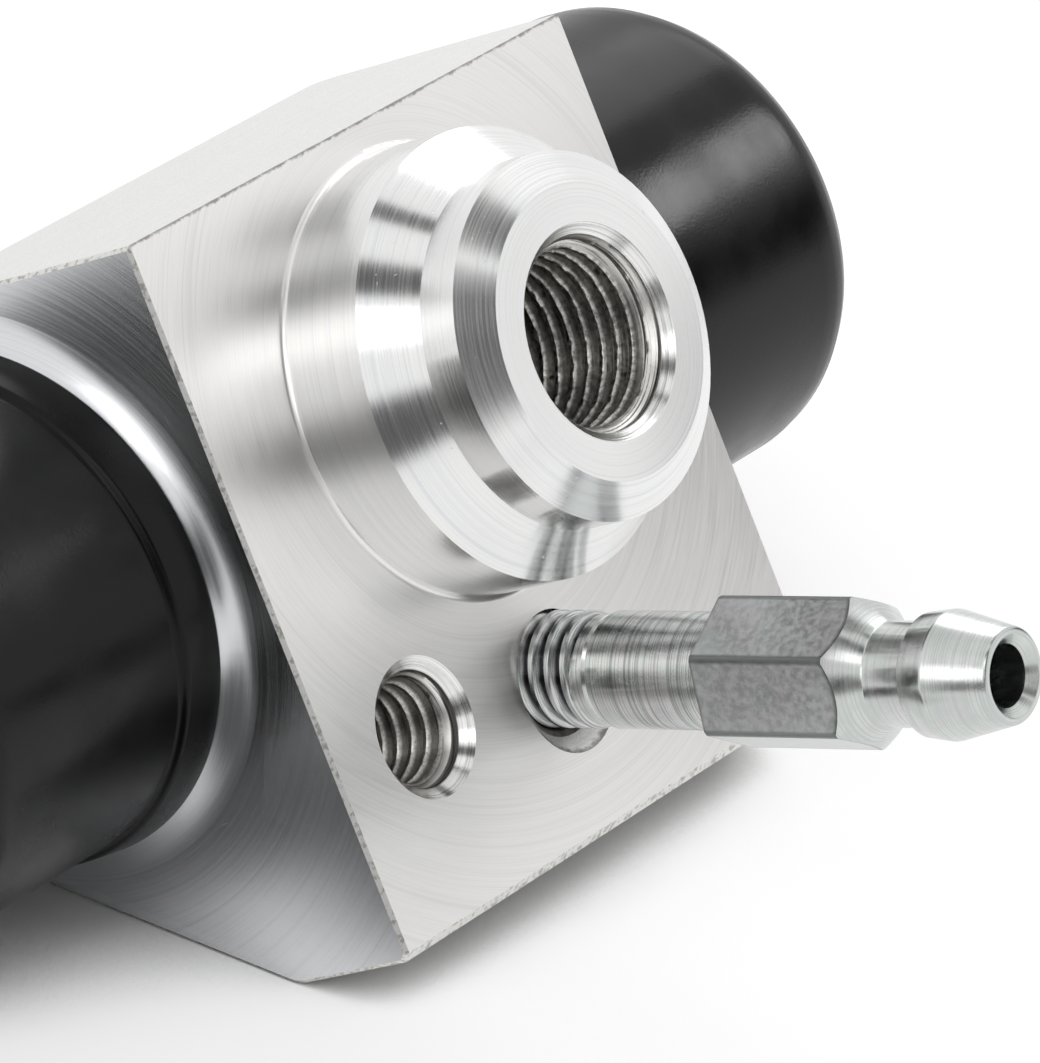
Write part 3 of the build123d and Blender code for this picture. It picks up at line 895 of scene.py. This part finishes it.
# %% [markdown]
# ### Burred edges
#
# The bar is sawn to length and the faces are cut, and where two cuts meet the soft metal rolls over
# into a fine, uneven burr. It shows as a thin line of bright and dark specks along the edge. The
# edges with a face of their own get a material for it. Where a face simply ends, a ragged dark line
# is laid over its colour, at a known distance along one direction of the drawing. Both are a matter
# of colour and relief, because a real burr is a few hundredths of a millimetre high.

# %% Burred edges
TOP_HEIGHT = 13.1
FACE_BURR = 0.22
SKIN_BURR = 0.3
BURR_RAGGED = 2.2
BURR_FROM = 0.3
BURR_FULL = 1.1
BURR_SHADE = 0.75

burred_edge, tree, shader = finish("burred_aluminium_edge", {"Metallic": 1.0, "Roughness": 0.4})
_, _, _, arm = around(tree, bore)
burr = add(tree, "TexNoise", {"Vector": arm, "Scale": 3.0, "Detail": 4.0, "Roughness": 0.65})
specks = add(tree, "MapRange", {0: burr, 1: 0.38, 2: 0.52}, **EASED)
fill(tree, shader, {
    "Base Color": add(tree, "Mix", {0: specks, 6: "#B3B2AE", 7: "#E6E5E2"}, **COLOURS),
    "Normal": add(tree, "Bump", {"Distance": 0.008 * MM, "Height": burr}),
})


def roll_over(made, towards_edge, edge, width):
    """Darkens a ragged line where a surface ends at a cut edge, that far along that direction."""
    tree = made.node_tree
    shader = tree.nodes["Principled BSDF"]
    colour = shader.inputs["Base Color"].links[0].from_socket
    _, _, _, arm = around(tree, boss)
    out = (PLACE.to_3x3() @ Vector(towards_edge)).normalized()
    reach = add(tree, "VectorMath", {0: arm, 1: out}, operation="DOT_PRODUCT")
    ragged = add(tree, "TexNoise", {"Vector": arm, "Scale": 2.0, "Detail": 4.0, "Roughness": 0.7})
    pushed = {0: ragged, 1: BURR_RAGGED * width, 2: reach}
    moved = add(tree, "Math", pushed, operation="MULTIPLY_ADD")
    shown = {1: edge + BURR_FROM * width, 2: edge + BURR_FULL * width, 4: BURR_SHADE}
    line = add(tree, "MapRange", {0: moved, **shown}, **EASED)
    lined = add(tree, "Mix", {0: line, 6: colour, 7: "#6E6C69"}, **COLOURS)
    fill(tree, shader, {"Base Color": lined})


roll_over(face_turned, (0, 0, 1), TOP_HEIGHT, FACE_BURR)
roll_over(bar_skin, (0, -1, 0), 0.0, SKIN_BURR)
print("burred edges: a material, and a line on the mounting face and on the skin")

# %% [markdown]
# ### Tapped aluminium
#
# A tap tears soft aluminium a little, and the crests are speckled. Little light gets down between
# the turns, so the roots get painted shade in their colour and the crests painted light. Near the
# mouth the metal is clean, with the tool's rings. The drill's cone at the bottom of the hole lies
# inside the crests, and gets painted shade too. All of that follows from a point's radius and
# depth, so one material does for ridges and wall.


# %% Tapped aluminium
def tapped_aluminium(name, mouth, crest, clean_depth, torn, lit_flank, faintest, depth):
    """Aluminium with a tapped thread: painted light on its crests, painted shade in its roots and
    deep in the hole, clean near the mouth.
    """
    made, tree, shader = finish(name, {"Metallic": 1.0, "Roughness": 0.32})
    _, radius, height, arm = around(tree, mouth)
    tears = add(tree, "TexNoise", {"Vector": arm, "Scale": torn, "Detail": 5.0, "Roughness": 0.65})
    rings = grooves(tree, radius, height, arm, per_mm=6.0, wander=0.05)
    # Painted light on the crests and painted shade in the roots, by radius.
    crests = {1: crest + 0.02, 2: crest + lit_flank, 3: 1.0, 4: 0.12}
    painted_crest_light = add(tree, "MapRange", {0: radius, **crests}, **EASED)
    speckle = add(tree, "MapRange", {0: tears, 1: 0.4, 2: 0.58, 3: faintest, 4: 1.0}, **EASED)
    # Painted shade on the drill's cone, which lies inside the crests.
    wall = {1: crest - 0.3, 2: crest - 0.1, 3: 0.2, 4: 1.0}
    on_wall = add(tree, "MapRange", {0: radius, **wall}, **EASED)
    bright = add(tree, "Math", {0: painted_crest_light, 1: speckle}, operation="MULTIPLY")
    bright = add(tree, "Math", {0: bright, 1: on_wall}, operation="MULTIPLY")
    painted_shade_down_hole = add(tree, "Mix", {0: bright, 6: "#3A3734", 7: "#DEDBD6"}, **COLOURS)
    ringed_shade = add(tree, "MapRange", {0: rings, 1: 0.4, 2: 0.52}, **EASED)
    ringed_mouth = add(tree, "Mix", {0: ringed_shade, 6: "#5A5856", 7: "#E8E7E4"}, **COLOURS)
    clean = add(tree, "MapRange", {0: height, 1: -clean_depth - 0.5, 2: -clean_depth}, **EASED)
    relief = add(tree, "Math", {0: tears, 1: rings}, operation="ADD")
    fill(tree, shader, {
        "Base Color": add(tree, "Mix", {0: clean, 6: painted_shade_down_hole, 7: ringed_mouth}, **COLOURS),
        "Normal": add(tree, "Bump", {"Distance": depth * MM, "Height": relief}),
    })
    return made


tapped_inlet = tapped_aluminium(
    "tapped_aluminium_inlet", boss_mouth, INLET_CREST,
    clean_depth=1.4, torn=3.4, lit_flank=0.22, faintest=0.4, depth=0.02,
)
tapped_mounting = tapped_aluminium(
    "tapped_aluminium_mounting_hole", mounting_hole, MOUNTING_CREST,
    clean_depth=1.0, torn=6.0, lit_flank=0.26, faintest=0.65, depth=0.01,
)
print("tapped aluminium: inlet, mounting hole")

# %% [markdown]
# ### Zinc plated steel
#
# Bright zinc is a thin plated skin with a clear passivation: a slightly green, cool grey with faint
# pink and yellow where that film is thicker. The round parts keep the grooves of turning. The
# hexagon's flats are the drawn bar, duller and mottled. Both come from one function, because the
# plating is the same and only the steel under it differs.


# %% Zinc plated steel
FILM_SHARE = 0.2


def plated(name, pale, dull, rough, anisotropic, mottle, depth):
    """Zinc plated steel about the bleed screw's axis. Its base colour is left to be linked."""
    made, tree, shader = finish(name, {**TURNED, "Roughness": rough, "Anisotropic": anisotropic})
    direction, radius, height, arm = around(tree, bleeder)
    ring = grooves(tree, radius, height, arm, per_mm=6.0, wander=0.08)
    patch = add(tree, "TexNoise", {"Vector": arm, "Scale": mottle, "Detail": 6.0, "Roughness": 0.6})
    tint = add(tree, "TexNoise", {"Vector": arm, "Scale": 0.45, "Detail": 1.0})
    patched = add(tree, "MapRange", {0: patch, 1: 0.35, 2: 0.65}, **EASED)
    tinted = add(tree, "MapRange", {0: tint, 1: 0.42, 2: 0.58}, **EASED)
    zinc = add(tree, "Mix", {0: patched, 6: dull, 7: pale}, **COLOURS)
    film = add(tree, "Mix", {0: tinted, 6: "#E3CFD6", 7: "#D8DCCF"}, **COLOURS)
    spread = {3: rough - 0.05, 4: rough + 0.07}
    fill(tree, shader, {
        "Roughness": add(tree, "MapRange", {0: patch, 1: 0.3, 2: 0.7, **spread}, **EASED),
        "Normal": add(tree, "Bump", {"Distance": depth * MM, "Height": ring}),
        "Tangent": add(tree, "VectorTransform", {0: direction}, **TO_WORLD),
    })
    colour = add(tree, "Mix", {0: FILM_SHARE, 6: zinc, 7: film}, **COLOURS)
    return made, tree, shader, colour, radius, height, arm


# %% [markdown]
# The turned parts are scored in fine rings, duller below the hexagon than on the nose above it, and
# the roots of the thread get painted shade.

# %% Zinc on turned steel
NOSE_START = HEX_START + 0.1

zinc_turned, tree, shader, colour, radius, height, arm = plated(
    "zinc_plated_turned_steel", "#D2D5D4", "#C0C4C3",
    rough=0.22, anisotropic=0.6, mottle=0.8, depth=0.0025,
)
rings = grooves(tree, radius, height, arm, per_mm=11.0, wander=0.04)
scored = add(tree, "MapRange", {0: rings, 1: 0.38, 2: 0.56}, **EASED)
# Painted shade: the thread's roots are darkened by radius.
roots = {1: THREAD_ROOT + 0.1, 2: THREAD_RADIUS - 0.12, 3: 1.0, 4: 0.0}
in_root = add(tree, "MapRange", {0: radius, **roots}, **EASED)
threaded = {1: THREAD_END, 2: THREAD_END + 0.1, 3: 1.0, 4: 0.0}
on_thread = add(tree, "MapRange", {0: height, **threaded}, **EASED)
painted_root_shade = add(tree, "Math", {0: in_root, 1: on_thread}, operation="MULTIPLY")
on_nose = add(tree, "MapRange", {0: height, 1: HEX_START, 2: NOSE_START}, **EASED)
score_colour = add(tree, "Mix", {0: on_nose, 6: "#9AA09F", 7: "#BEC3C2"}, **COLOURS)
cleaner = add(tree, "Mix", {0: scored, 6: score_colour, 7: colour}, **COLOURS)
with_painted_root_shade = add(tree, "Mix", {0: painted_root_shade, 6: cleaner, 7: "#3E3D40"}, **COLOURS)
fill(tree, shader, {"Base Color": with_painted_root_shade})
print("zinc plated steel, turned")

# %% [markdown]
# The flats keep the mottled skin of the drawn bar. Towards the hexagon's corners, its lower edge
# and the cone above it they darken: partly wear, partly painted shade along the edges.

# %% Zinc on the flats
zinc_flats, tree, shader, colour, radius, height, _ = plated(
    "zinc_plated_drawn_steel", "#D6DADA", "#C4CACB",
    rough=0.34, anisotropic=0.0, mottle=3.0, depth=0.002,
)
# Painted shade and wear towards the corners, the lower edge and the cone.
corner = {1: 3.88, 2: 3.98, 3: 1.0, 4: 0.0}
from_corner = add(tree, "MapRange", {0: radius, **corner}, **EASED)
lower_edge = {1: HEX_START - 0.05, 2: HEX_START + 0.22}
from_start = add(tree, "MapRange", {0: height, **lower_edge}, **EASED)
cone_sum = add(tree, "Math", {0: height, 1: radius}, operation="ADD")
upper_edge = {1: CONE_SUM - 0.3, 2: CONE_SUM + 0.05, 3: 1.0, 4: 0.0}
from_cone = add(tree, "MapRange", {0: cone_sum, **upper_edge}, **EASED)
inside = add(tree, "Math", {0: from_corner, 1: from_start}, operation="MULTIPLY")
inside = add(tree, "Math", {0: inside, 1: from_cone}, operation="MULTIPLY")
worn_and_edge_shaded = add(tree, "Mix", {0: inside, 6: "#6A6E6D", 7: colour}, **COLOURS)
fill(tree, shader, {"Base Color": worn_and_edge_shaded})
print("zinc plated steel, drawn")

# %% [markdown]
# ### Moulded rubber
#
# The boots are black moulded rubber with a semi-gloss skin. Rubber is a dielectric, so its gloss is
# weak and white, and soft unevenness of the skin breaks it up: broad clouds some 5 mm across, and a
# grain of a sixth of a millimetre.


# %% Rubber
def moulded_rubber(name, place, dark, pale, rough):
    """Black rubber with the faint unevenness of its mould."""
    made, tree, shader = finish(
        name, {"Metallic": 0.0, "Roughness": rough, "IOR": 1.52, "Specular IOR Level": 0.18}
    )
    _, _, _, arm = around(tree, place)
    cloud = add(tree, "TexNoise", {"Vector": arm, "Scale": 0.22, "Detail": 4.0})
    skin = add(tree, "TexNoise", {"Vector": arm, "Scale": 6.0, "Detail": 4.0})
    clouded = add(tree, "MapRange", {0: cloud, 1: 0.35, 2: 0.65}, **EASED)
    spread = {3: rough - 0.05, 4: rough + 0.07}
    fill(tree, shader, {
        "Base Color": add(tree, "Mix", {0: clouded, 6: dark, 7: pale}, **COLOURS),
        "Roughness": add(tree, "MapRange", {0: cloud, 1: 0.3, 2: 0.7, **spread}, **EASED),
        "Normal": add(tree, "Bump", {"Distance": 0.006 * MM, "Height": skin}),
    })
    return made


boot_rubber = moulded_rubber("moulded_rubber_boot", bore, "#050506", "#0A0A0A", 0.22)
seal_rubber = moulded_rubber("moulded_rubber_seal", bore, "#141414", "#1D1D1C", 0.4)
print("moulded rubber: boots, seals")

# %% [markdown]
# ### Hidden steel
#
# The expanders are pressed from steel sheet and the spring is drawn wire. Both hide in the bore,
# but a part in a library is taken apart too.

# %% Pressed and drawn steel
ROLLING_MARKS = (0.6, 6.0, 0.6)

pressed_steel, tree, shader = finish("pressed_steel_sheet", {"Metallic": 1.0, "Roughness": 0.35})
_, _, _, arm = around(tree, bore)
rolled = add(tree, "VectorMath", {0: arm, 1: ROLLING_MARKS}, operation="MULTIPLY")
marks = add(tree, "TexNoise", {"Vector": rolled, "Scale": 1.0, "Detail": 4.0})
fill(tree, shader, {
    "Base Color": add(tree, "Mix", {0: marks, 6: "#8E8F90", 7: "#B4B5B6"}, **COLOURS),
    "Roughness": add(tree, "MapRange", {0: marks, 3: 0.28, 4: 0.45}, **EASED),
})

spring_steel, tree, shader = finish("drawn_spring_steel", {"Metallic": 1.0, "Roughness": 0.3})
_, _, _, arm = around(tree, bore)
oil = add(tree, "TexNoise", {"Vector": arm, "Scale": 1.5, "Detail": 4.0})
fill(tree, shader, {
    "Base Color": add(tree, "Mix", {0: oil, 6: "#5F5A54", 7: "#8A8681"}, **COLOURS),
    "Roughness": add(tree, "MapRange", {0: oil, 3: 0.22, 4: 0.4}, **EASED),
})
print("pressed steel, spring steel")

# %% [markdown]
# ## Dressing the pieces
#
# The body is one solid with several finishes. Which finish a face has follows from where it lies on
# the drawing: on the boss, on the mounting face, on an end, or on the skin of the bar. The radii
# and depths below are the drawing's, with a hair to spare.

# %% Where the finishes end
HALF_LENGTH = BODY_LENGTH / 2
END_BREAK = 0.21
PAD_FOOT_RADIUS = 15.12
BORE_WALL_RADIUS = 9.6
BOTTOM_DEPTH = 24.65
BOTTOM_BREAK = 0.46
BOSS_RADIUS = 11.46
BOSS_FOOT_RADIUS = 11.76
BOSS_FOOT_DEPTH = 1
INLET_RADIUS = 5.1
INLET_SINK_DEPTH = 0.6
MOUTH_SINK_RADIUS = 5.55
HOLE_RADIUS = 3.1
HOLE_SINK_DEPTH = 0.7
HOLE_SINK_RADIUS = 3.65
BLEEDER_HOLE_RADIUS = 3.5
FACING_END = 0.9
NEAR = 0.02

# %% Body finishes
SKIN, FACE, BOSS, ENDS, SINK, MOUTH, INLET, HOLE, EDGE = range(9)

body = frame["nodes"]["body"]
to_drawing = PLACE.inverted()
to_bleeder = (PLACE @ bleeder).inverted()
body.data.materials.clear()
body_materials = [bar_skin, face_turned, boss_turned, end_turned, sink_turned, mouth_turned]
body_materials += [tapped_inlet, tapped_mounting, burred_edge]
for material in body_materials:
    body.data.materials.append(material)


def body_finish(polygon):
    """Which finish a face of the body has, from where it lies on the drawing."""
    x, y, z = to_drawing @ polygon.center
    normal = (to_drawing.to_3x3() @ polygon.normal).normalized()
    from_boss = (x * x + z * z) ** 0.5
    from_bore = ((y - BORE_MIDDLE[1]) ** 2 + (z - BORE_MIDDLE[2]) ** 2) ** 0.5
    from_hole = ((x - MOUNTING_HOLE_OFFSET) ** 2 + (z + MOUNTING_HOLE_DROP) ** 2) ** 0.5
    in_bleeder = to_bleeder @ polygon.center
    from_bleeder = (in_bleeder.x**2 + in_bleeder.y**2) ** 0.5
    at_end = abs(x) > HALF_LENGTH - END_BREAK
    if at_end and abs(normal.x) < FACING_END and from_bore > PAD_FOOT_RADIUS:
        return EDGE
    if at_end or from_bore < BORE_WALL_RADIUS:
        return ENDS
    if 0 < y < BOTTOM_BREAK and z < BOTTOM_BREAK - BOTTOM_DEPTH:
        return EDGE
    if from_boss < INLET_RADIUS and y > INLET_SINK_DEPTH - BOSS_HEIGHT:
        return INLET
    if from_boss < MOUTH_SINK_RADIUS and y > NEAR - BOSS_HEIGHT:
        return MOUTH
    if from_hole < HOLE_RADIUS and y > HOLE_SINK_DEPTH:
        return HOLE
    if from_hole < HOLE_SINK_RADIUS and y > NEAR:
        return SINK
    if from_bleeder < BLEEDER_HOLE_RADIUS and y > NEAR:
        return INLET
    if y < NEAR and from_boss < BOSS_RADIUS:
        return BOSS
    if y < NEAR and abs(normal.z) < abs(normal.y):
        return FACE
    if from_boss < BOSS_FOOT_RADIUS and y < BOSS_FOOT_DEPTH:
        return FACE
    return SKIN


counts = [0] * len(body_materials)
for polygon in body.data.polygons:
    polygon.material_index = body_finish(polygon)
    counts[polygon.material_index] += 1
print("body faces: skin, face, boss, ends, sink, mouth, inlet, hole, edge =", counts)


# %% Other finishes
def dress(made, material):
    """Gives a piece one material."""
    made.data.materials.clear()
    made.data.materials.append(material)


for boot in boots:
    dress(boot, boot_rubber)
for half_spring in spring_halves:
    dress(half_spring, spring_steel)
dress(inlet_thread, tapped_inlet)
dress(mounting_thread, tapped_mounting)
for side in ("left", "right"):
    dress(frame["nodes"][f"{side}_piston"], piston_turned)
    dress(frame["nodes"][f"{side}_cup_seal"], seal_rubber)
    dress(frame["nodes"][f"{side}_cup_expander"], pressed_steel)
print("boots, spring, threads, pistons, seals and expanders dressed")

# %% Finishes of the bleed screw
FLATS_INNER_RADIUS = 3.3
FLATS_END = CONE_END - 0.6

dress(bleed_screw, zinc_turned)
bleed_screw.data.materials.append(zinc_flats)
for polygon in bleed_screw.data.polygons:
    centre = to_bleeder @ polygon.center
    radius = (centre.x**2 + centre.y**2) ** 0.5
    on_flats = radius > FLATS_INNER_RADIUS and HEX_START < centre.z < FLATS_END
    polygon.material_index = int(on_flats)
print("bleed screw dressed")
